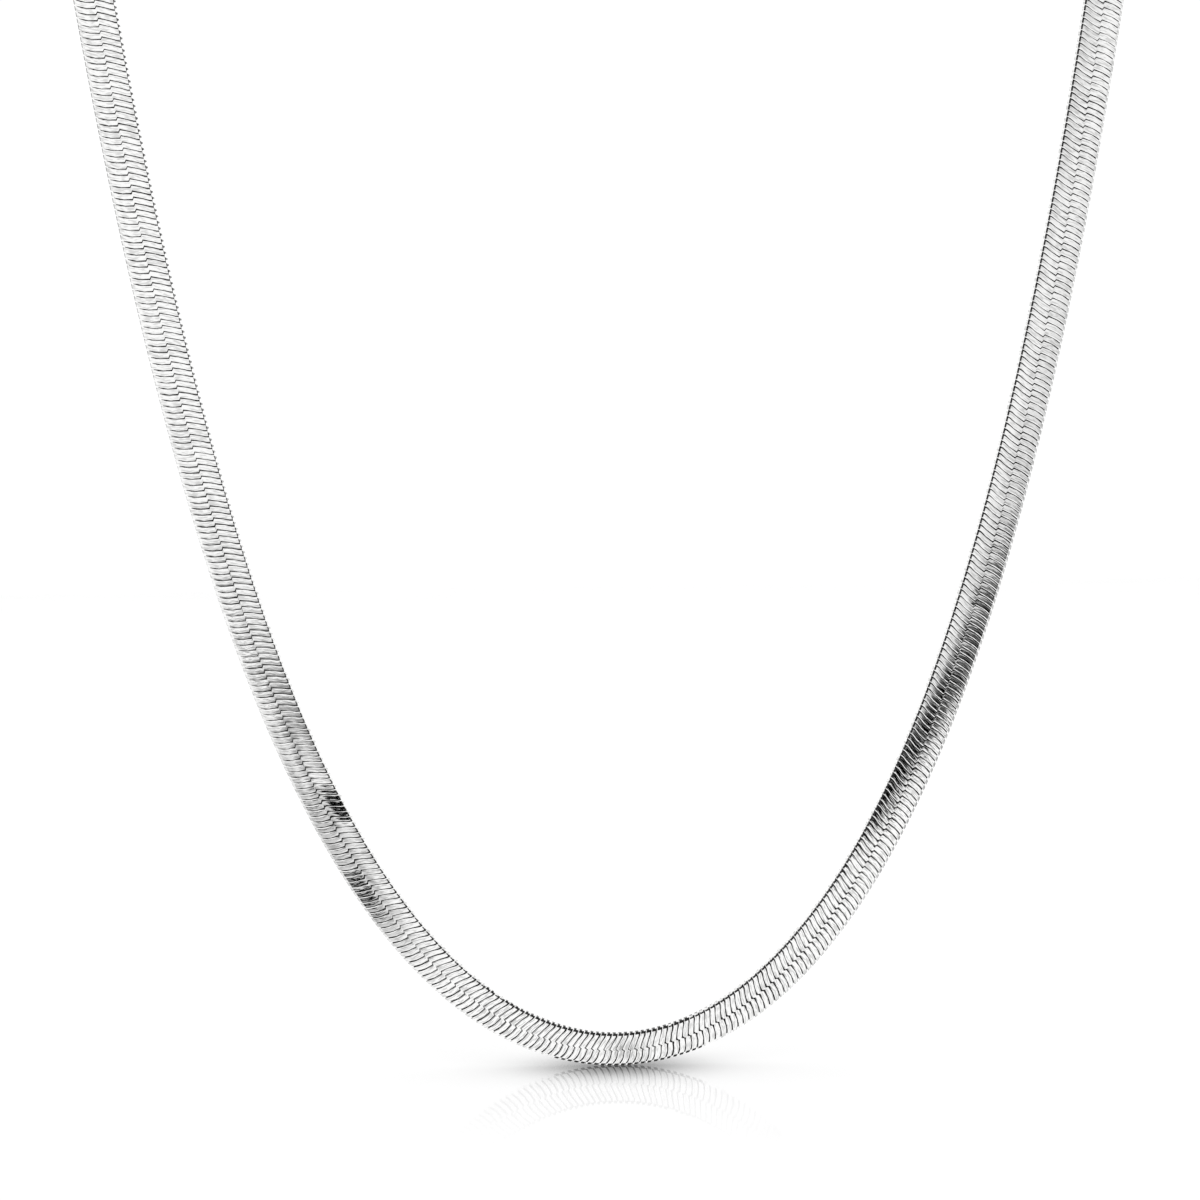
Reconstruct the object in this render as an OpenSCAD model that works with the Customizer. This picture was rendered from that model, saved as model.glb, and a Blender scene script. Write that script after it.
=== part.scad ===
// Flat herringbone chain necklace, held in the loop that it takes when it is worn.
// The origin is on the neck's centre line, level with the clasp at the nape.
// +Z is up, -Y is the front, and +X is the viewer's right.

/* [Chain] */
// Width of the flat chain
chain_w = 4.5; // [4:0.1:4.6]
// Thickness of the flat chain
chain_t = 0.7; // [0.6:0.05:0.75]
// Width of the flat face, short of the rounded edges
face_w = 3.7; // [3.2:0.1:3.8]

/* [Front stretch] */
// Size of the catenary: the radius of its bend at the lowest point
sag = 21.7; // [18:0.1:26]
// Length of each arm, from the lowest point to where it turns back over the shoulder
arm_len = 136; // [110:1:150]

/* [Hidden stretch] */
// How far the nape lies behind the front stretch
nape_depth = 46; // [36:1:70]
// How far the nape lies above the top of the arms
nape_rise = 20; // [12:1:30]
// Pull of the curve along the top of the arm
shoulder_pull = 28; // [20:1:40]
// Pull of the curve along the nape
nape_pull = 27; // [20:1:40]
// Angle by which the face at the nape leans up
nape_lean = 35; // [0:1:60]
// Straight end of the chain, on its way into the end cap
lead_len = 4; // [3.7:0.1:8]

/* [End caps] */
// Gap between the chain and the walls of its cap
cap_gap = 0.1; // [0.1:0.02:0.2]
// Thickness of the cap's walls
cap_wall = 0.4; // [0.3:0.05:0.6]
// Length of the cap's straight body
cap_len = 4.6; // [4:0.1:6]
// Thickness of the cap's closed end
cap_end = 1; // [0.8:0.1:1.5]
// Length of the cap's narrow nose
nose_len = 1.3; // [1:0.1:2]
// Radius of the hole for the ring
eye_r = 0.95; // [0.9:0.05:1.1]
// Width of metal round that hole
eye_rim = 0.8; // [0.7:0.05:0.9]
// Thickness of the tab round that hole
tab_t = 0.7; // [0.5:0.05:0.8]

/* [Rings and clasp] */
// Radius of a jump ring, to the middle of its wire
ring_r = 2; // [1.9:0.05:2.2]
// Radius of a jump ring's wire
wire_r = 0.4; // [0.35:0.01:0.45]
// Play between a ring and the cap's tab
play = 0.15; // [0.12:0.01:0.2]
// Play between a ring and the clasp
clasp_play = 0.3; // [0.25:0.05:0.35]
// Thickness of the clasp
clasp_t = 1.4; // [1:0.1:1.4]
// Radius of the round end of the clasp's window
window_r = 1.3; // [1.2:0.05:1.5]
// Width of metal round the window
window_rim = 0.95; // [0.8:0.05:1]
// Length of the clasp, from the window's round end to its eye
clasp_len = 8.2; // [7.8:0.1:10]
// Radius of the clasp's eye
clasp_eye_r = 1.05; // [1:0.05:1.2]
// Width of metal round the clasp's eye
clasp_eye_rim = 0.75; // [0.7:0.05:0.8]

/* [Hidden] */
$fn = 64;

// How far the chain's face turns away from the inside of the bend, along the front.
// Each row is [millimetres from the lowest point, degrees].
ROLL = [[-136, -3], [-90, 2], [-45, 14], [-20, 19], [0, 29],
        [20, 21], [45, 19], [65, 15], [136, 10]];

// Steps along half of the front stretch, and along each hidden side
front_steps = 19;
side_steps = 20;

// Sizes of the catenary's top end
top_x = sag * asinh(arm_len / sag);
top_z = norm([sag, arm_len]) - sag;
low_z = -(top_z + nape_rise);

// Each stop is what a thing hangs by, measured from the middle of its own hole
eye_stop = eye_r - play - wire_r;
window_stop = window_r - clasp_play - wire_r;
clasp_eye_stop = clasp_eye_r - clasp_play - wire_r;
// Distances along the clasp, from the left cap's eye to the right cap's eye
ring_left_x = eye_stop + ring_r;
window_x = ring_left_x + ring_r + window_stop;
clasp_eye_x = window_x + clasp_len;
ring_right_x = clasp_eye_x + clasp_eye_stop + ring_r;
eye_span = ring_right_x + ring_r + eye_stop;
// The middle of that span lies at the nape's middle
eye_x = eye_span / 2;
// From the cap's eye to its body, and to the end of the chain inside it
cap_x = eye_r + eye_rim + nose_len - tab_t;
end_x = eye_x + cap_x + cap_end + cap_gap;

function asinh(v) = ln(v + sqrt(v * v + 1));
function sinh(v) = (exp(v) - exp(-v)) / 2;
function unit(v) = v / norm(v);
function square_to(v, t) = unit(v - t * (v * t));

// A smooth line through a table's rows, with level ends
function slope(tab, i) =
    i == 0 || i == len(tab) - 1 ? 0
    : (tab[i + 1][1] - tab[i - 1][1]) / (tab[i + 1][0] - tab[i - 1][0]);
function row_before(tab, v, i = 0) =
    i >= len(tab) - 2 || v < tab[i + 1][0] ? i : row_before(tab, v, i + 1);
function smooth_row(tab, v, i) =
    let (w = tab[i + 1][0] - tab[i][0], u = (v - tab[i][0]) / w)
    tab[i][1] * (1 + 2 * u) * pow(1 - u, 2) + tab[i + 1][1] * u * u * (3 - 2 * u)
    + w * (slope(tab, i) * u * pow(1 - u, 2) - slope(tab, i + 1) * u * u * (1 - u));
function roll_at(s) = smooth_row(ROLL, s, row_before(ROLL, s));

// A station is [place, direction of travel, direction of the face].
// The front stretch, at a length s from its lowest point:
function front_station(s) =
    let (r = norm([sag, s]), t = [sag / r, 0, s / r], out = [s / r, 0, -sag / r])
    [[sag * asinh(s / sag), 0, low_z + r - sag], t,
     cos(roll_at(s)) * [0, -1, 0] + sin(roll_at(s)) * out];

// The hidden side, from the top of an arm at u = 0 to the straight lead at u = 1.
// side is 1 on the right and -1 on the left, where the travel runs the other way.
function side_points(side) =
    let (start = [top_x, 0, -nape_rise], rise = unit([sag, 0, arm_len]),
         stop = [end_x + lead_len, nape_depth, 0])
    [for (p = [start, start + shoulder_pull * rise,
               stop + [nape_pull, 0, 0], stop]) [side * p[0], p[1], p[2]]];
function side_faces(side) =
    [front_station(side * arm_len)[2], [side, -0.1, 1.3],
     [0, cos(nape_lean), sin(nape_lean)]];
function side_station(side, u) =
    let (p = side_points(side), f = side_faces(side), v = 1 - u,
         place = v * v * v * p[0] + 3 * v * v * u * p[1] + 3 * v * u * u * p[2] + u * u * u * p[3],
         t = side * unit(v * v * (p[1] - p[0]) + 2 * v * u * (p[2] - p[1]) + u * u * (p[3] - p[2])),
         face = v * v * f[0] + 2 * v * u * f[1] + u * u * f[2])
    [place, t, square_to(face, t)];
function end_station(side) =
    [[side * end_x, nape_depth, 0], [-1, 0, 0], side_faces(side)[2]];

// All stations, from the left end round the front to the right end
STATIONS = [
    end_station(-1),
    for (i = [side_steps:-1:1]) side_station(-1, i / side_steps),
    for (i = [-front_steps:front_steps]) front_station(sag * sinh(i / front_steps * asinh(arm_len / sag))),
    for (i = [1:side_steps]) side_station(1, i / side_steps),
    end_station(1)
];

// Outline of the chain's section, as [across the width, through the thickness]
edge_w = (chain_w - face_w) / 2;
HALF_SECTION = [[-chain_w / 2, 0], [-chain_w / 2 + edge_w * 0.3, chain_t * 0.3],
                [-face_w / 2, chain_t / 2], [face_w / 2, chain_t / 2],
                [chain_w / 2 - edge_w * 0.3, chain_t * 0.3]];
SECTION = concat(HALF_SECTION, -HALF_SECTION);

// One closed skin over the section's copies at all stations
module swept_band(section, stations) {
    n = len(section);
    last = len(stations) - 1;
    points = [for (st = stations) let (across = cross(st[1], st[2]))
        for (p = section) st[0] + p[0] * across + p[1] * st[2]];
    sides = [for (j = [0:last - 1], i = [0:n - 1])
        let (a = j * n + i, b = j * n + (i + 1) % n) each [[a, a + n, b], [b, a + n, b + n]]];
    ends = [[for (i = [0:n - 1]) i], [for (i = [n - 1:-1:0]) last * n + i]];
    polyhedron(points, concat(sides, ends), convexity = 10);
}

module herringbone_chain() {
    color("silver") swept_band(SECTION, STATIONS);
}

// Turns a thing built flat at the nape: X runs along it and Y points out of its face
module at_nape(side = 1) {
    translate([0, nape_depth, 0]) rotate([nape_lean, 0, 0]) mirror([side < 0 ? 1 : 0, 0, 0]) children();
}

module rounded_rect(w, h, r) {
    square([w - 2 * r, h], center = true);
    square([w, h - 2 * r], center = true);
    for (x = [-1, 1], y = [-1, 1]) translate([x * (w / 2 - r), y * (h / 2 - r)]) circle(r);
}

// A folded cap that the chain's end sits in, with its soldered tab. Its eye is at x = 0.
module end_cap() {
    pocket_w = chain_w + 2 * cap_gap;
    pocket_t = chain_t + 2 * cap_gap;
    cap_w = pocket_w + 2 * cap_wall;
    cap_t = pocket_t + 2 * cap_wall;
    tab_r = eye_r + eye_rim;
    difference() {
        union() {
            translate([cap_x, 0, 0]) rotate([90, 0, 90])
                linear_extrude(cap_len) rotate(90) rounded_rect(cap_w, cap_t, cap_t * 0.4);
            rotate([90, 0, 0]) linear_extrude(tab_t, center = true) circle(tab_r);
            rotate([90, 0, 0]) linear_extrude(tab_t, center = true)
                polygon([[0, -tab_r], [cap_x + cap_end / 2, -cap_w * 0.42],
                         [cap_x + cap_end / 2, cap_w * 0.42], [0, tab_r]]);
        }
        translate([cap_x + cap_end, 0, 0]) rotate([90, 0, 90])
            linear_extrude(cap_len) rotate(90) rounded_rect(pocket_w, pocket_t, pocket_t * 0.4);
        rotate([90, 0, 0]) cylinder(h = 3 * tab_t, r = eye_r, center = true);
    }
}

module ring(r, wire) {
    rotate_extrude() translate([r, 0]) circle(wire);
}

module end_cap_left() {
    color("silver") at_nape(-1) translate([eye_x, 0, 0]) end_cap();
}

module end_cap_right() {
    color("silver") at_nape() translate([eye_x, 0, 0]) end_cap();
}

module jump_ring_left() {
    color("gainsboro") at_nape() translate([ring_left_x - eye_x, 0, 0]) ring(ring_r, wire_r);
}

module jump_ring_right() {
    color("gainsboro") at_nape() translate([ring_right_x - eye_x, 0, 0]) ring(ring_r, wire_r);
}

// A flat shape that narrows from one circle to another along X
module taper(x0, r0, x1, r1) {
    translate([x0, 0]) circle(r0);
    translate([x1, 0]) circle(r1);
    polygon([[x0, -r0], [x1, -r1], [x1, r1], [x0, r0]]);
}

// One plain piece: a hook closed round its window, a body, and an eye at the other end
module clasp() {
    outer_r = window_r + window_rim;
    color("gainsboro") at_nape() translate([window_x - eye_x, 0, 0]) rotate([90, 0, 0])
        linear_extrude(clasp_t, center = true) difference() {
            union() {
                taper(0, outer_r, clasp_len * 0.6, outer_r * 0.66);
                taper(clasp_len * 0.6, outer_r * 0.45, clasp_len, clasp_eye_r);
                translate([clasp_len, 0]) circle(clasp_eye_r + clasp_eye_rim);
                translate([clasp_len * 0.42, -outer_r * 0.85]) circle(0.5);
            }
            taper(0, window_r, clasp_len * 0.33, window_r * 0.62);
            translate([clasp_len, 0]) circle(clasp_eye_r);
        }
}

herringbone_chain();
end_cap_left();
end_cap_right();
jump_ring_left();
jump_ring_right();
clasp();
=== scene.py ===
import math

import bpy
import numpy as np
from mathutils import Matrix, Vector


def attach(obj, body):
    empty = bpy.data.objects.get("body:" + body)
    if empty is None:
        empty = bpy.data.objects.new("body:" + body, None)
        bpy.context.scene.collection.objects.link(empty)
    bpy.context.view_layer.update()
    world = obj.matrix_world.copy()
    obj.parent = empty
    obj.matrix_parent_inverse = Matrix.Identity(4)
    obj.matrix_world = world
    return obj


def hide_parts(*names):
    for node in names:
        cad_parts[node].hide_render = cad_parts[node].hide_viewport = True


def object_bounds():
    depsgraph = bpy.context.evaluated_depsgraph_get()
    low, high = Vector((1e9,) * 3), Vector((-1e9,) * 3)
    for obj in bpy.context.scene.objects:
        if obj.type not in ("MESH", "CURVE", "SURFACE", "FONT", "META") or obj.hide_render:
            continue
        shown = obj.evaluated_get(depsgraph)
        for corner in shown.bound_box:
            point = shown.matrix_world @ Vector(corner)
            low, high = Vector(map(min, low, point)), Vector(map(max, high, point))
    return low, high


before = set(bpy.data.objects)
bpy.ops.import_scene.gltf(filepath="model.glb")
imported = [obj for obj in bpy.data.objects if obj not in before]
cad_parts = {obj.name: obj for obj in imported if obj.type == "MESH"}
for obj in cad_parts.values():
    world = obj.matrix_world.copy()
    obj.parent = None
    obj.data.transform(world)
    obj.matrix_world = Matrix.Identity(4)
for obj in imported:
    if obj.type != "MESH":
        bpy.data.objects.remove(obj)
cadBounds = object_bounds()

scene = bpy.context.scene
mm = 0.001  # the part is laid out in millimetres and shrunk to metres at the end
near = 0.001  # points closer than this to a line count as on it, in millimetres
sideways = 0.9  # a face whose normal runs this much along the chain is a wall or an end

# the chain's way round the neck, the same curve as the frame's band
chainWay = {
    "sag": 21.7,  # bend radius at the lowest point
    "armLength": 136.0,  # from the lowest point to each shoulder, along the chain
    "napeDepth": 46.0,  # how far the nape lies behind the front
    "napeRise": 20.0,  # and how far above the shoulders
    "shoulderPull": 28.0,  # how far the side curve is pulled straight on at its two ends
    "napePull": 27.0,
    "shoulderFace": (-0.1, 1.3),  # half round the side it looks this far back and up, for 1 outwards
    "napeLean": 35.0,  # how far the face looks up at the nape, in degrees
    "leadLength": 4.0,  # straight run into each cap
    "endX": 12.425,  # where the chain ends inside its cap
    # how far the face looks to the outside of the curve, in degrees, by the place along the chain
    "roll": [(-136, -3), (-90, 2), (-45, 14), (-20, 19), (0, 29), (20, 21), (45, 19), (65, 15), (136, 10)],
    "frontSteps": 1088,
    "sideSteps": 160,
}


def unit(v):
    return v / np.linalg.norm(v)


# a smooth curve through the rows of the roll list
def rollAt(s):
    rows = chainWay["roll"]
    i = max(0, min(len(rows) - 2, sum(1 for r in rows if r[0] <= s) - 1))

    def slope(k):
        if k in (0, len(rows) - 1):
            return 0.0
        return (rows[k + 1][1] - rows[k - 1][1]) / (rows[k + 1][0] - rows[k - 1][0])

    w = rows[i + 1][0] - rows[i][0]
    u = (s - rows[i][0]) / w
    return (rows[i][1] * (1 + 2 * u) * (1 - u) ** 2 + rows[i + 1][1] * u * u * (3 - 2 * u)
            + w * (slope(i) * u * (1 - u) ** 2 - slope(i + 1) * u * u * (1 - u)))


sag = chainWay["sag"]
arm = chainWay["armLength"]
topX = sag * math.asinh(arm / sag)
lowZ = -(math.hypot(sag, arm) - sag + chainWay["napeRise"])


# each station of the way is its place, its direction and where its face looks; the front is a catenary
def frontStation(s):
    r = math.hypot(sag, s)
    along = np.array([sag / r, 0, s / r])
    out = np.array([s / r, 0, -sag / r])
    roll = math.radians(rollAt(s))
    place = np.array([sag * math.asinh(s / sag), 0, lowZ + r - sag])
    return place, along, math.cos(roll) * np.array([0, -1, 0]) + math.sin(roll) * out


# the hidden sides are smooth curves from the shoulders up and back to the nape
def sideStation(side, u):
    start = np.array([topX, 0, -chainWay["napeRise"]])
    rise = unit(np.array([sag, 0, arm]))
    stop = np.array([chainWay["endX"] + chainWay["leadLength"], chainWay["napeDepth"], 0])
    pull = np.array([chainWay["napePull"], 0, 0])
    mirror = np.array([side, 1, 1])
    p = [q * mirror for q in (start, start + chainWay["shoulderPull"] * rise, stop + pull, stop)]
    lean = math.radians(chainWay["napeLean"])
    f = [
        frontStation(side * arm)[2],
        np.array([side, *chainWay["shoulderFace"]]),
        np.array([0, math.cos(lean), math.sin(lean)]),
    ]
    v = 1 - u
    place = v ** 3 * p[0] + 3 * v * v * u * p[1] + 3 * v * u * u * p[2] + u ** 3 * p[3]
    along = side * unit(v * v * (p[1] - p[0]) + 2 * v * u * (p[2] - p[1]) + u * u * (p[3] - p[2]))
    face = v * v * f[0] + 2 * v * u * f[1] + u * u * f[2]
    return place, along, unit(face - along * face.dot(along))


def endStation(side):
    lean = math.radians(chainWay["napeLean"])
    place = np.array([side * chainWay["endX"], chainWay["napeDepth"], 0])
    return place, np.array([-1.0, 0, 0]), np.array([0, math.cos(lean), math.sin(lean)])


def buildWay():
    sideTurns = np.linspace(0, 1, chainWay["sideSteps"] + 1)[1:]
    stations = [endStation(-1)]
    stations += [sideStation(-1, u) for u in sideTurns[::-1]]
    stations += [frontStation(s) for s in np.linspace(-arm, arm, chainWay["frontSteps"] + 1)]
    stations += [sideStation(1, u) for u in sideTurns]
    stations.append(endStation(1))
    place, along, face = (np.array(column) for column in zip(*stations))
    travel = np.concatenate([[0], np.cumsum(np.linalg.norm(np.diff(place, axis=0), axis=1))])
    return {"travel": travel, "place": place, "along": along, "face": face}


way = buildWay()
chainLength = way["travel"][-1]
print("way of the chain:", round(chainLength, 1), "mm")


def pickAlong(name, travel):
    return np.stack([np.interp(travel, way["travel"], way[name][:, k]) for k in range(3)], -1)


# bends flat points onto the way: how far along it, across it and over its middle they lie
def layOnWay(travel, across, height):
    along = pickAlong("along", travel)
    face = pickAlong("face", travel)
    face /= np.linalg.norm(face, axis=-1, keepdims=True)
    side = np.cross(along, face)
    side /= np.linalg.norm(side, axis=-1, keepdims=True)
    return pickAlong("place", travel) + across[..., None] * side + height[..., None] * face


def deselectAll():
    if bpy.context.object and bpy.context.object.mode != "OBJECT":
        bpy.ops.object.mode_set(mode="OBJECT")
    bpy.ops.object.select_all(action="DESELECT")


def takeUp(piece):
    deselectAll()
    piece.select_set(True)
    bpy.context.view_layer.objects.active = piece


def pickVerts(piece, wanted):
    bpy.ops.object.mode_set(mode="EDIT")
    bpy.ops.mesh.select_mode(type="VERT")
    bpy.ops.object.mode_set(mode="OBJECT")
    for v in piece.data.vertices:
        v.select = bool(wanted(v.co))
    for e in piece.data.edges:
        e.select = all(piece.data.vertices[k].select for k in e.vertices)
    for p in piece.data.polygons:
        p.select = all(piece.data.vertices[k].select for k in p.vertices)
    bpy.ops.object.mode_set(mode="EDIT")


def pickFaces(piece, wanted):
    bpy.ops.object.mode_set(mode="EDIT")
    bpy.ops.mesh.select_mode(type="FACE")
    bpy.ops.mesh.select_all(action="DESELECT")
    bpy.ops.object.mode_set(mode="OBJECT")
    for p in piece.data.polygons:
        p.select = bool(wanted(p))
    bpy.ops.object.mode_set(mode="EDIT")


def cutAt(place, normal):
    bpy.ops.mesh.select_all(action="SELECT")
    bpy.ops.mesh.bisect(plane_co=place, plane_no=normal, threshold=near / 10)


def shadeFaces(piece, wanted):
    pickFaces(piece, wanted)
    piece.active_material_index = 1  # the material of the painted shade
    bpy.ops.object.material_slot_assign()


def repeatAlong(piece, step, count, weld=False):
    takeUp(piece)
    row = piece.modifiers.new("row", "ARRAY")
    row.use_relative_offset = False
    row.use_constant_offset = True
    row.constant_offset_displace = (step, 0, 0)
    row.use_merge_vertices = weld
    row.merge_threshold = near
    row.count = count
    bpy.ops.object.modifier_apply(modifier=row.name)


def pointsOf(mesh):
    co = np.zeros(len(mesh.vertices) * 3)
    mesh.vertices.foreach_get("co", co)
    return co.reshape(-1, 3)


def mathNode(tree, operation, *values):
    node = tree.nodes.new("ShaderNodeMath")
    node.operation = operation
    for k, value in enumerate(values):
        if isinstance(value, (int, float)):
            node.inputs[k].default_value = value
        else:
            tree.links.new(value, node.inputs[k])
    return node.outputs[0]


def newMaterial(name):
    material = bpy.data.materials.new(name)
    material.use_nodes = True
    return material, material.node_tree.nodes, material.node_tree.links


def polishedSilver(name, look):
    material, nodes, links = newMaterial(name)
    shader = nodes["Principled BSDF"]
    shader.inputs["Metallic"].default_value = 1.0
    # fine polishing lines, along the slats on the chain
    if look["streakMap"]:
        place = nodes.new("ShaderNodeUVMap")
        place.uv_map = look["streakMap"]
        where = place.outputs["UV"]
    else:
        place = nodes.new("ShaderNodeTexCoord")
        where = place.outputs["Object"]
    stretch = nodes.new("ShaderNodeMapping")
    stretch.inputs["Scale"].default_value = look["streakScale"]
    links.new(where, stretch.inputs["Vector"])
    streaks = nodes.new("ShaderNodeTexNoise")
    streaks.inputs["Scale"].default_value = 1.0
    streaks.inputs["Detail"].default_value = look["streakDetail"]
    links.new(stretch.outputs["Vector"], streaks.inputs["Vector"])
    # each link has its own tone
    tone = nodes.new("ShaderNodeAttribute")
    tone.attribute_name = "linkTone"
    blend = mathNode(
        material.node_tree, "MULTIPLY_ADD", tone.outputs["Fac"], look["toneShare"], streaks.outputs["Fac"])
    colour = nodes.new("ShaderNodeValToRGB")
    colour.color_ramp.elements[0].position = look["streakRange"][0]
    colour.color_ramp.elements[0].color = look["dullColour"]
    colour.color_ramp.elements[1].position = look["streakRange"][1]
    colour.color_ramp.elements[1].color = look["brightColour"]
    links.new(blend, colour.inputs["Fac"])
    links.new(colour.outputs["Color"], shader.inputs["Base Color"])
    rough = nodes.new("ShaderNodeMapRange")
    rough.inputs["From Min"].default_value = look["roughRange"][0]
    rough.inputs["From Max"].default_value = look["roughRange"][1]
    rough.inputs["To Min"].default_value = look["roughness"][0]
    rough.inputs["To Max"].default_value = look["roughness"][1]
    links.new(blend, rough.inputs["Value"])
    links.new(rough.outputs["Result"], shader.inputs["Roughness"])
    bump = nodes.new("ShaderNodeBump")
    bump.inputs["Strength"].default_value = 1.0
    bump.inputs["Distance"].default_value = look["streakDepth"]
    links.new(streaks.outputs["Fac"], bump.inputs["Height"])
    links.new(bump.outputs["Normal"], shader.inputs["Normal"])
    return material


# the dark material that paints the shade in the slits, the folds and the web
def paintedShadeSilver(name, look):
    material, nodes, links = newMaterial(name)
    shader = nodes["Principled BSDF"]
    shader.inputs["Roughness"].default_value = look["roughness"]
    shader.inputs["Specular IOR Level"].default_value = look["shine"]
    place = nodes.new("ShaderNodeTexCoord")
    fine = nodes.new("ShaderNodeTexNoise")
    fine.inputs["Scale"].default_value = look["grainScale"]
    links.new(place.outputs["Object"], fine.inputs["Vector"])
    colour = nodes.new("ShaderNodeValToRGB")
    colour.color_ramp.elements[0].color = look["darkColour"]
    colour.color_ramp.elements[1].color = look["paleColour"]
    links.new(fine.outputs["Fac"], colour.inputs["Fac"])
    links.new(colour.outputs["Color"], shader.inputs["Base Color"])
    return material


chainLook = {
    "brightColour": (0.985, 0.985, 0.98, 1),
    "dullColour": (0.72, 0.72, 0.715, 1),
    "streakRange": (0.46, 0.56),
    "toneShare": 0.1,  # how much each link's own tone counts
    "roughness": (0.03, 0.10),
    "roughRange": (0.3, 0.8),
    "streakMap": "slat",
    "streakScale": (1.2, 4.0, 1),  # per millimetre across the chain, per link along it
    "streakDetail": 1,
    "streakDepth": 0.000008,  # in metres
}
fittingsLook = {
    "brightColour": (0.92, 0.92, 0.915, 1),
    "dullColour": (0.64, 0.64, 0.635, 1),
    "streakRange": (0.42, 0.64),
    "toneShare": 0.1,
    "roughness": (0.06, 0.2),
    "roughRange": (0.3, 0.8),
    "streakMap": "",
    "streakScale": (1200, 9000, 9000),  # per metre
    "streakDetail": 3,
    "streakDepth": 0.0000015,
}
# painted shade: the dark material for the slits and folds, where shade falls
shadeLook = {
    "darkColour": (0.006, 0.006, 0.006, 1),
    "paleColour": (0.028, 0.028, 0.028, 1),
    "roughness": 0.6,
    "shine": 0.25,
    "grainScale": 900,
}
silver = polishedSilver("chainSilver", chainLook)
fittingSilver = polishedSilver("fittingSilver", fittingsLook)
shade = paintedShadeSilver("slitShade", shadeLook)
print("materials ready")

# one woven link of the chain: a flat slat with a step at its middle, in millimetres and degrees
linkShape = {
    "pitch": 0.68,
    "width": 4.5,
    "thickness": 0.7,
    "slit": 0.14,  # gap between neighbours
    "rim": 0.09,  # rounded edge along one side of a slat
    "rimDrop": 0.05,  # how far the rim lies below the slat's face
    "corner": 0.16,  # the other side falls gently to a crisp corner
    "cornerDrop": 0.01,
    # cuts along the slat, from the inside edge to the outside edge: [place, half thickness, width share]
    "cuts": [
        [-2.25, 0.10, 0.75], [-2.12, 0.23, 0.93], [-2.02, 0.302, 1.0], [-1.75, 0.317, 1.0],
        [-1.05, 0.337, 1.12], [-0.08, 0.350, 1.0], [0.08, 0.350, 1.0], [1.0, 0.338, 1.12],
        [1.5, 0.324, 1.0], [1.92, 0.308, 1.0], [2.17, 0.22, 0.9], [2.25, 0.10, 0.72],
    ],
    "innerFold": (-2.12, -2.02, -1.05),  # end of the inside fold, its crest and where it runs out
    "step": (-0.08, 0.08),
    "stepReach": (0.1, 1.0),  # the slit closes from the second place towards the step
    "outerFold": (1.5, 1.92, 2.17),  # where the outside fold runs out, its crest and its end
    "shades": [(-2.25, -2.02), (1.92, 2.17)],  # these stretches of the slat's ends get painted shade
    "wallEnd": 2.0,  # so do the slit's walls, up to here
    "lean": 1.8,  # evens out the fall to the corner
    "smoothAngle": 15.0,
    # the next ones go by the place along the chain, with 0 at its lowest point
    # how wide the inside fold is, and how far the folds are moved towards the outside edge
    "foldWidth": [(-136, 0.5), (-45, 0.5), (-20, 0.75), (0, 1.0), (136, 1.0)],
    "foldReach": [(-136, 0.02), (-40, 0.02), (-20, 0.0), (3, 0.0), (12, 0.09), (136, 0.09)],
    "outerReach": [(-136, 0.0), (-9, 0.0), (-4, -0.08), (7, -0.08), (12, 0.0), (136, 0.0)],
    # which share of the links has painted shade at the inside fold, the step and the outside fold
    "foldDark": [(-136, 0.0), (-19, 0.0), (-14, 1.0), (3, 1.0), (9, 0.0), (136, 0.0)],
    "stepDark": [(-136, 1.0), (-34, 1.0), (-28, 0.15), (2, 0.15), (10, 1.0), (136, 1.0)],
    "outerDark": [(-136, 0.0), (-7, 0.0), (-4, 1.0), (7, 1.0), (11, 0.0), (136, 0.0)],
    # how much wider a slat is at its step and outside end, and how much narrower all over
    "stepClose": [(-136, 0.0), (-36, 0.0), (-28, 0.2), (0, 0.2), (8, 0.0), (136, 0.0)],
    "outerClose": [(-136, 0.2), (-42, 0.2), (-25, 0.0), (136, 0.0)],
    "slitWiden": [(-136, 0.0), (-45, 0.02), (-28, 0.09), (0, 0.11), (10, 0.07), (25, 0.03), (136, 0.0)],
    # extra tilt of the inside and the outside half, which brings dark spots on some stretches
    "innerTilt": [
        (-72, 0.0), (-60, -1.3), (-54, -2.5), (-47, -2.5), (-46.4, 6.0), (-42.6, 6.0), (-41.4, 0.0),
        (31, 0.0), (34, 1.4), (37, 1.4), (39.5, 0.0),
    ],
    "outerTilt": [(-37.0, 0.0), (-36.4, 6.0), (-33.8, 6.0), (-30.5, 3.8), (-25.0, 0.0)],
    "fadeLength": 4.0,  # the slits straighten over this length at the chain's ends
    "seed": 7,
    "tiltSpread": 0.4,  # no two slats lie quite alike
    "slitSpread": 0.04,
    "spreadLimit": 2.4,  # no slit strays by more than this many spreads
}

# how far the slit runs ahead of the link's middle, measured across the chain (outside edge is positive)
slitPath = [
    (-2.25, 0.86), (-2.05, 0.80), (-1.87, 0.78), (-1.37, 0.55), (-0.87, 0.29), (-0.37, 0.06), (-0.08, 0.0),
    (0.08, 0.25), (0.37, 0.22), (0.87, 0.13), (1.37, -0.04), (1.87, -0.27), (2.1, -0.38), (2.25, -0.5),
]


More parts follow.
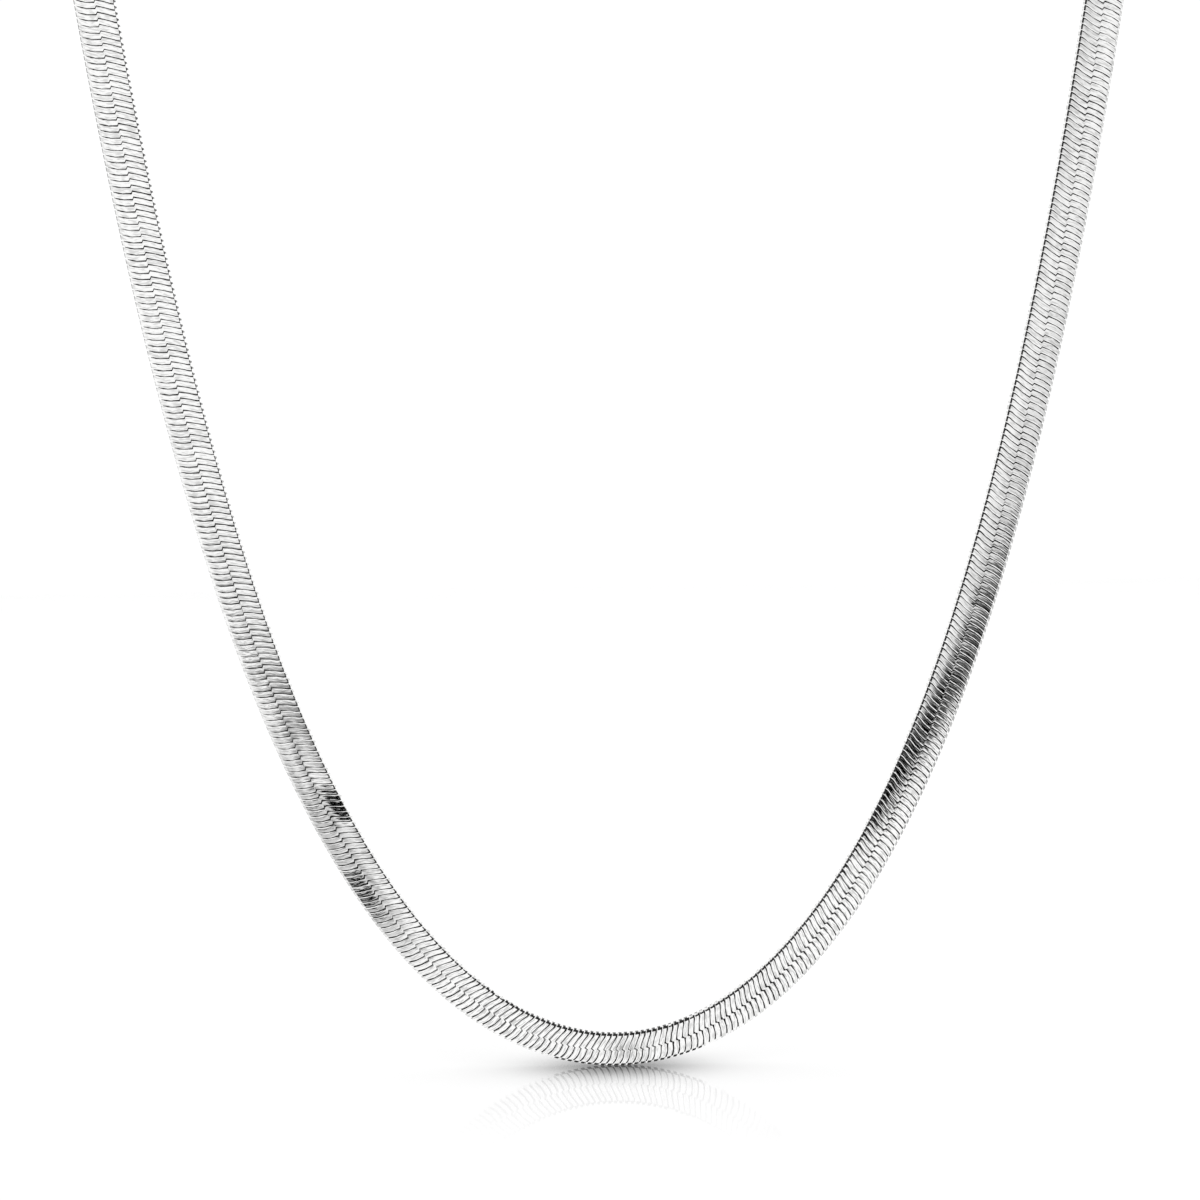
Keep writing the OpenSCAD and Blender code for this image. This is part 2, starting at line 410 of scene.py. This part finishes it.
def buildLink():
    deselectAll()
    half = (linkShape["pitch"] - linkShape["slit"]) / 2
    thick = linkShape["thickness"]
    bpy.ops.mesh.primitive_cube_add(size=1, location=(0, 0, 0), scale=(2 * half, linkShape["width"], thick))
    link = bpy.context.object
    link.name = "herringbone_links"
    bpy.ops.object.transform_apply(location=True, rotation=True, scale=True)

    def squeeze(wide, high):
        bpy.ops.transform.resize(value=(wide, 1, high), center_override=(0, 0, 0))

    bpy.ops.object.mode_set(mode="EDIT")
    for x in (linkShape["rim"] - half, half - linkShape["corner"]):
        cutAt((x, 0, 0), (1, 0, 0))
    for cut in linkShape["cuts"][1:-1]:
        cutAt((0, -cut[0], 0), (0, 1, 0))
    # one long edge drops to a rounded rim, the other to a crisp corner, on the face and on the back
    pickVerts(link, lambda co: co.x < near - half)
    squeeze(1, 1 - 2 * linkShape["rimDrop"] / thick)
    pickVerts(link, lambda co: co.x > half - near)
    squeeze(1, 1 - 2 * linkShape["cornerDrop"] / thick)
    # each cut gets its own thickness and width, so that the slat is domed and its ends are round tips
    for w, high, share in linkShape["cuts"]:
        pickVerts(link, lambda co: abs(co.y + w) < near)
        squeeze(share, 2 * high / thick)
    bpy.ops.object.mode_set(mode="OBJECT")
    link.data.materials.append(silver)
    link.data.materials.append(shade)
    # painted shade: the slit's walls and the folds at both ends get the dark material, all but the bright
    # rim
    shadeFaces(link, lambda p: abs(p.normal.x) > sideways and abs(p.center.y) < linkShape["wallEnd"])
    rimInside = linkShape["rim"] - half
    for low, high in linkShape["shades"]:
        shadeFaces(link, lambda p: (
            low < -p.center.y < high and p.center.x > rimInside and abs(p.normal.x) < sideways))
    bpy.ops.object.mode_set(mode="OBJECT")
    bpy.ops.object.shade_smooth_by_angle(angle=math.radians(linkShape["smoothAngle"]))
    return link


def bendLinks(link, perLink, count):
    dice = np.random.default_rng(linkShape["seed"])
    co = pointsOf(link.data).reshape(count, perLink, 3)
    number = np.arange(count)[:, None]
    x = co[..., 0] - number * linkShape["pitch"]
    across = -co[..., 1]
    height = co[..., 2]
    middle = (number + 0.5) * chainLength / count
    fromLow = middle - chainLength / 2

    def alongChain(name):
        return np.interp(fromLow, *np.array(linkShape[name]).T)

    inner = linkShape["innerFold"]
    outer = linkShape["outerFold"]
    step = linkShape["step"]
    # slats turn a little this way and that, and some sit closer than others
    turn = linkShape["lean"] + dice.normal(0, linkShape["tiltSpread"], (count, 1))
    turn = turn + alongChain("innerTilt") * np.interp(across, step, [1, 0])
    turn = turn + alongChain("outerTilt") * np.interp(across, step, [0, 1])
    height = height + x * np.radians(turn)
    most = linkShape["spreadLimit"] * linkShape["slitSpread"]
    close = 1 + dice.normal(0, linkShape["slitSpread"], (count, 1)).clip(-most, most)
    x = x * close * (1 - alongChain("slitWiden"))
    x = x * (1 - (1 - alongChain("foldWidth")) * np.interp(across, inner[:2], [1, 0]))
    x = x * (1 + alongChain("outerClose") * np.interp(across, outer[:2], [0, 1]))
    x = x * (1 + alongChain("stepClose") * np.interp(np.abs(across), linkShape["stepReach"], [1, 0]))
    fade = np.clip(np.minimum(middle, chainLength - middle) / linkShape["fadeLength"], 0, 1)
    path = np.array(slitPath)
    shift = np.interp(across, path[:, 0], path[:, 1]) * fade
    travel = np.clip(middle + x + shift, 0, chainLength)
    innerMove = alongChain("foldReach") * np.interp(across, inner, [0, 1, 0])
    outerMove = alongChain("outerReach") * np.interp(across, outer, [0, 1, 0])
    across = across + innerMove + outerMove
    # the painted shade at the inside fold, the step and the outside fold stays only on some stretches of
    # the chain
    faces = link.data.polygons
    used = np.zeros(len(faces), dtype=np.int32)
    faces.foreach_get("material_index", used)
    used = used.reshape(count, -1)
    centre = np.zeros(len(faces) * 3)
    faces.foreach_get("center", centre)
    at = -centre.reshape(count, -1, 3)[..., 1]
    zones = {"foldDark": at < inner[0], "stepDark": np.abs(at) < step[1], "outerDark": at > outer[1]}
    share = dice.random((count, 1))
    for name, zone in zones.items():
        used = np.where(zone & (share > alongChain(name)), 0, used)
    faces.foreach_set("material_index", used.reshape(-1).astype(np.int32))
    done = layOnWay(travel, across, height) * mm
    link.data.vertices.foreach_set("co", done.reshape(-1))
    corner = np.zeros(len(link.data.loops), dtype=np.int32)
    link.data.loops.foreach_get("vertex_index", corner)
    flat = np.stack([across, number + x / linkShape["pitch"]], -1).reshape(-1, 2)
    slat = link.data.uv_layers.new(name="slat")
    slat.data.foreach_set("uv", flat[corner].reshape(-1).astype(np.float32))
    tone = link.data.attributes.new("linkTone", "FLOAT", "POINT")
    tone.data.foreach_set("value", np.repeat(dice.random(count), perLink).astype(np.float32))
    link.data.update()


# the thin web inside, which closes the slits; it has the dark material, so the slits show painted shade
webShape = {"width": 4.0, "thickness": 0.26, "steps": 420}


def buildWeb():
    deselectAll()
    count = webShape["steps"]
    bpy.ops.mesh.primitive_cube_add(
        size=1, location=(0, 0, 0), scale=(1, webShape["width"], webShape["thickness"]))
    web = bpy.context.object
    web.name = "web"
    bpy.ops.object.transform_apply(location=True, rotation=True, scale=True)
    bpy.ops.object.mode_set(mode="EDIT")
    pickFaces(web, lambda p: abs(p.normal.x) > sideways)
    bpy.ops.mesh.delete(type="FACE")
    bpy.ops.object.mode_set(mode="OBJECT")
    repeatAlong(web, 1, count, weld=True)
    co = pointsOf(web.data)
    travel = (co[:, 0] + 0.5) / count * chainLength
    done = layOnWay(np.clip(travel, 0, chainLength), -co[:, 1], co[:, 2]) * mm
    web.data.vertices.foreach_set("co", done.reshape(-1))
    web.data.materials.append(shade)
    return web


linkCount = round(chainLength / linkShape["pitch"])
chain = buildLink()
perLink = len(chain.data.vertices)
print("one link:", perLink, "points,", len(chain.data.polygons), "faces")
repeatAlong(chain, linkShape["pitch"], linkCount)
bendLinks(chain, perLink, linkCount)
web = buildWeb()
takeUp(chain)
web.select_set(True)
bpy.ops.object.join()
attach(chain, "root")
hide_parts("herringbone_chain")
print("chain:", linkCount, "links,", sum(len(p.vertices) - 2 for p in chain.data.polygons), "triangles")

# the fittings at the nape, in millimetres and degrees
fittings = {
    "ringX": 6.575,  # from the middle of the nape to each ring's middle
    "ringRadius": 2.0,
    "wireRadius": 0.4,
    "ringSteps": 96,
    "wireSteps": 24,
    "seam": 0.01,  # points this near the plane where the wire's ends meet belong to the seam
    "seamSize": 0.86,  # and the wire is this much of its thickness there
    "ringSmooth": 50.0,
    "capEdge": 0.14,  # how far the edges are rounded, and in how many steps
    "capSteps": 3,
    "claspEdge": 0.36,
    "claspSteps": 4,
    "weld": 0.002,  # points closer than this become one
    "flatAngle": 1.5,  # faces closer than this in angle become one
    "edgeAngle": 35.0,  # edges sharper than this are rounded
    "smoothAngle": 32.0,
}


def softCopy(nodeName, pieceName, edge, steps):
    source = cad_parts[nodeName]
    piece = bpy.data.objects.new(pieceName, source.data.copy())
    scene.collection.objects.link(piece)
    takeUp(piece)
    bpy.ops.object.mode_set(mode="EDIT")
    bpy.ops.mesh.select_mode(type="VERT")
    bpy.ops.mesh.select_all(action="SELECT")
    bpy.ops.mesh.remove_doubles(threshold=fittings["weld"] * mm)
    bpy.ops.mesh.dissolve_limited(angle_limit=math.radians(fittings["flatAngle"]))
    bpy.ops.object.mode_set(mode="OBJECT")
    soft = piece.modifiers.new("edges", "BEVEL")
    soft.width = edge * mm
    soft.segments = steps
    soft.limit_method = "ANGLE"
    soft.angle_limit = math.radians(fittings["edgeAngle"])
    bpy.ops.object.modifier_apply(modifier=soft.name)
    bpy.ops.object.shade_smooth_by_angle(angle=math.radians(fittings["smoothAngle"]))
    piece.data.materials.clear()
    piece.data.materials.append(fittingSilver)
    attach(piece, "root")
    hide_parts(nodeName)


def jumpRing(nodeName, pieceName, x):
    deselectAll()
    place = (x * mm, chainWay["napeDepth"] * mm, 0)
    lean = (math.radians(chainWay["napeLean"]), 0, 0)
    bpy.ops.mesh.primitive_torus_add(
        location=place, rotation=lean,
        major_segments=fittings["ringSteps"], minor_segments=fittings["wireSteps"],
        major_radius=fittings["ringRadius"] * mm, minor_radius=fittings["wireRadius"] * mm)
    piece = bpy.context.object
    piece.name = pieceName
    bpy.ops.object.transform_apply(location=True, rotation=True, scale=True)
    # the butted ends of the wire show as a fine seam at the top of the ring
    up = Vector((0, math.cos(lean[0]), math.sin(lean[0])))
    middle = Vector(place)
    seam = middle + up * fittings["ringRadius"] * mm
    pickVerts(piece, lambda co: abs(co.x - middle.x) < fittings["seam"] * mm and (co - middle).dot(up) > 0)
    bpy.ops.transform.resize(value=(fittings["seamSize"],) * 3, center_override=tuple(seam))
    bpy.ops.object.mode_set(mode="OBJECT")
    bpy.ops.object.shade_smooth_by_angle(angle=math.radians(fittings["ringSmooth"]))
    piece.data.materials.append(fittingSilver)
    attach(piece, "root")
    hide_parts(nodeName)


softCopy("end_cap_left", "cap_left_soft", fittings["capEdge"], fittings["capSteps"])
softCopy("end_cap_right", "cap_right_soft", fittings["capEdge"], fittings["capSteps"])
softCopy("clasp", "clasp_soft", fittings["claspEdge"], fittings["claspSteps"])
jumpRing("jump_ring_left", "ring_left_wire", -fittings["ringX"])
jumpRing("jump_ring_right", "ring_right_wire", fittings["ringX"])
print("fittings ready")

# the pale table that the chain's lowest point touches, in metres
floorLook = {
    "size": 1.6,
    "tone": (0.965, 0.99),
    "grainScale": 40,
    "shadeSize": (0.0081, 0.007),  # the painted soft shadow round the lowest point
    "shadeDepth": 0.85,
    "glow": 1.26,  # the table is lit from below as well
    "glowShare": 0.4,
    "gloss": 0.2,  # it mirrors the chain faintly, and only near the lowest point
    "glossSize": (0.045, 0.034),
    "roughness": 0.02,
}


def buildFloor():
    deselectAll()
    bpy.ops.mesh.primitive_plane_add(size=floorLook["size"], location=(0, 0, cadBounds[0].z))
    floor = bpy.context.object
    floor.name = "floor"
    bpy.ops.object.transform_apply(location=True, rotation=True, scale=True)
    material, nodes, links = newMaterial("paleFloor")
    tree = material.node_tree
    nodes.remove(nodes["Principled BSDF"])
    matt = nodes.new("ShaderNodeBsdfDiffuse")
    # a pale grain, with a painted shadow round the place that the chain stands on
    place = nodes.new("ShaderNodeTexCoord")
    grain = nodes.new("ShaderNodeTexNoise")
    grain.inputs["Scale"].default_value = floorLook["grainScale"]
    links.new(place.outputs["Object"], grain.inputs["Vector"])
    pale = nodes.new("ShaderNodeMapRange")
    pale.inputs["To Min"].default_value = floorLook["tone"][0]
    pale.inputs["To Max"].default_value = floorLook["tone"][1]
    links.new(grain.outputs["Fac"], pale.inputs["Value"])

    def fadeFrom(reach):
        spot = nodes.new("ShaderNodeMapping")
        spot.inputs["Scale"].default_value = (1 / reach[0], 1 / reach[1], 0)
        links.new(place.outputs["Object"], spot.inputs["Vector"])
        away = nodes.new("ShaderNodeVectorMath")
        away.operation = "DOT_PRODUCT"
        links.new(spot.outputs["Vector"], away.inputs[0])
        links.new(spot.outputs["Vector"], away.inputs[1])
        return mathNode(tree, "POWER", math.exp(-1), away.outputs["Value"])

    # painted shadow: the floor's colour is darkened round the lowest point
    shadow = fadeFrom(floorLook["shadeSize"])
    shaded = mathNode(tree, "MULTIPLY_ADD", shadow, -floorLook["shadeDepth"], pale.outputs["Result"])
    links.new(shaded, matt.inputs["Color"])
    gloss = nodes.new("ShaderNodeBsdfGlossy")
    gloss.inputs["Roughness"].default_value = floorLook["roughness"]
    gloss.inputs["Color"].default_value = (1, 1, 1, 1)
    mix = nodes.new("ShaderNodeMixShader")
    shine = mathNode(tree, "MULTIPLY", fadeFrom(floorLook["glossSize"]), floorLook["gloss"])
    links.new(shine, mix.inputs["Fac"])
    glow = nodes.new("ShaderNodeEmission")
    glow.inputs["Strength"].default_value = floorLook["glow"]
    links.new(shaded, glow.inputs["Color"])
    table = nodes.new("ShaderNodeMixShader")
    table.inputs["Fac"].default_value = floorLook["glowShare"]
    links.new(matt.outputs["BSDF"], table.inputs[1])
    links.new(glow.outputs["Emission"], table.inputs[2])
    links.new(table.outputs["Shader"], mix.inputs[1])
    links.new(gloss.outputs["BSDF"], mix.inputs[2])
    links.new(mix.outputs["Shader"], nodes["Material Output"].inputs["Surface"])
    floor.data.materials.append(material)
    floor.visible_glossy = False


# a white room with dark flags, which the polished slats mirror, and one softbox above
studio = {
    "softboxPower": 2.1,
    "softboxSize": 1.2,
    "softboxPlace": (0, 0.05, 0.75),
    "roomLight": 1.0,
    "backdrop": 1.05,  # what the camera sees behind the chain
    # each flag: its middle as (turn to the right, height) and its half size, in degrees as seen from
    # the chain, how soft its edge is and how dark it is
    "flags": [
        {"at": (37.3, -14.7), "size": (5.5, 2.9), "soft": 0.5, "dark": 0.84},
        {"at": (34.2, -10.6), "size": (6.5, 8.6), "soft": 0.75, "dark": 0.25},
        {"at": (34.2, -20.2), "size": (5.2, 4.4), "soft": 0.2, "dark": 1.0},
        {"at": (37.6, -23.2), "size": (2.2, 2.0), "soft": 0.4, "dark": 0.85},
        {"at": (-15.2, -16.3), "size": (13.0, 5.4), "soft": 0.3, "dark": 0.6},
        {"at": (-36.2, -16.0), "size": (6.3, 15.0), "soft": 0.34, "dark": 0.3},
        {"at": (-27.6, -2.2), "size": (5.0, 6.0), "soft": 0.2, "dark": 1.0},
        {"at": (-35.2, -14.4), "size": (3.0, 3.0), "soft": 0.3, "dark": 1.0},
        {"at": (-34.4, -20.4), "size": (3.0, 2.6), "soft": 0.5, "dark": 0.2},
        {"at": (-8.7, -14.7), "size": (13.0, 9.3), "soft": 0.4, "dark": 0.33},
        {"at": (21.2, 12.9), "size": (5.5, 16.0), "soft": 0.75, "dark": 0.4},
        {"at": (4.0, -67.5), "size": (6.5, 4.0), "soft": 0.5, "dark": 0.42},
        {"at": (180.0, 58.0), "size": (60.0, 13.0), "soft": 0.5, "dark": 0.75},
        {"at": (0.0, 90.0), "size": (2000.0, 22.0), "soft": 0.5, "dark": 0.5},
        {"at": (0.0, -90.0), "size": (2000.0, 12.0), "soft": 0.4, "dark": 0.6},
        {"at": (160.0, -18.0), "size": (22.0, 9.0), "soft": 0.5, "dark": 0.6},
        {"at": (-140.0, -25.0), "size": (20.0, 12.0), "soft": 0.5, "dark": 0.5},
        {"at": (95.0, 0.0), "size": (27.0, 40.5), "soft": 0.5, "dark": 0.75},
        {"at": (-95.0, 0.0), "size": (27.0, 40.5), "soft": 0.5, "dark": 0.75},
    ],
}


def buildStudio():
    world = bpy.data.worlds.new("studio")
    scene.world = world
    world.use_nodes = True
    tree = world.node_tree
    nodes = tree.nodes
    links = tree.links
    nodes.clear()

    def number(operation, *values):
        return mathNode(tree, operation, *values)

    place = nodes.new("ShaderNodeTexCoord")
    split = nodes.new("ShaderNodeSeparateXYZ")
    links.new(place.outputs["Generated"], split.inputs["Vector"])
    turn = number("ARCTAN2", split.outputs["X"], number("MULTIPLY", split.outputs["Y"], -1.0))
    lift = number("ARCSINE", split.outputs["Z"])
    light = studio["roomLight"]
    for flag in studio["flags"]:
        aside = number("WRAP", number("SUBTRACT", turn, math.radians(flag["at"][0])), math.pi, -math.pi)
        above = number("SUBTRACT", lift, math.radians(flag["at"][1]))
        across = number("DIVIDE", aside, math.radians(flag["size"][0]))
        up = number("DIVIDE", above, math.radians(flag["size"][1]))
        away = number("SQRT", number("ADD", number("MULTIPLY", across, across), number("MULTIPLY", up, up)))
        soft = nodes.new("ShaderNodeMapRange")
        soft.interpolation_type = "SMOOTHSTEP"
        soft.inputs["From Min"].default_value = 1 - flag["soft"]
        soft.inputs["From Max"].default_value = 1 + flag["soft"]
        soft.inputs["To Min"].default_value = 1 - flag["dark"]
        soft.inputs["To Max"].default_value = 1.0
        links.new(away, soft.inputs["Value"])
        light = number("MULTIPLY", light, soft.outputs["Result"])
    ray = nodes.new("ShaderNodeLightPath")
    strength = nodes.new("ShaderNodeMix")
    strength.inputs["B"].default_value = studio["backdrop"]
    links.new(ray.outputs["Is Camera Ray"], strength.inputs["Factor"])
    links.new(light, strength.inputs["A"])
    back = nodes.new("ShaderNodeBackground")
    back.inputs["Color"].default_value = (1, 1, 1, 1)
    links.new(strength.outputs["Result"], back.inputs["Strength"])
    out = nodes.new("ShaderNodeOutputWorld")
    links.new(back.outputs["Background"], out.inputs["Surface"])


def buildSoftbox():
    lamp = bpy.data.lights.new("softbox", "AREA")
    lamp.shape = "SQUARE"
    lamp.size = studio["softboxSize"]
    lamp.energy = studio["softboxPower"]
    softbox = bpy.data.objects.new("softbox", lamp)
    scene.collection.objects.link(softbox)
    softbox.location = studio["softboxPlace"]
    softbox.visible_glossy = False
    softbox.visible_camera = False


# the camera, in millimetres and degrees
shot = {
    "aim": (-1.01, 0, -86.26),
    "distance": 475.3,
    "rise": 4.0,  # it looks down by this much
    "roll": -0.859,
    "lens": 129.89,
    "sensor": 36,
    "sees": (10, 20000),  # nearest and farthest
}


def buildCamera():
    rise = math.radians(shot["rise"])
    roll = math.radians(shot["roll"])
    forward = Vector((0, math.cos(rise), -math.sin(rise)))
    right = Vector((1, 0, 0))
    up = right.cross(forward)
    axisX = math.cos(roll) * right + math.sin(roll) * up
    axisY = -math.sin(roll) * right + math.cos(roll) * up
    lens = bpy.data.cameras.new("camera")
    lens.sensor_width = shot["sensor"]
    lens.lens = shot["lens"]
    lens.clip_start = shot["sees"][0] * mm
    lens.clip_end = shot["sees"][1] * mm
    camera = bpy.data.objects.new("camera", lens)
    scene.collection.objects.link(camera)
    turn = Matrix((axisX, axisY, -forward)).transposed()
    eye = (Vector(shot["aim"]) - forward * shot["distance"]) * mm
    camera.matrix_world = Matrix.Translation(eye) @ turn.to_4x4()
    scene.camera = camera


buildFloor()
buildStudio()
buildSoftbox()
buildCamera()
scene.view_settings.view_transform = "Standard"
scene.cycles.caustics_reflective = False
scene.cycles.caustics_refractive = False
print("stage ready")
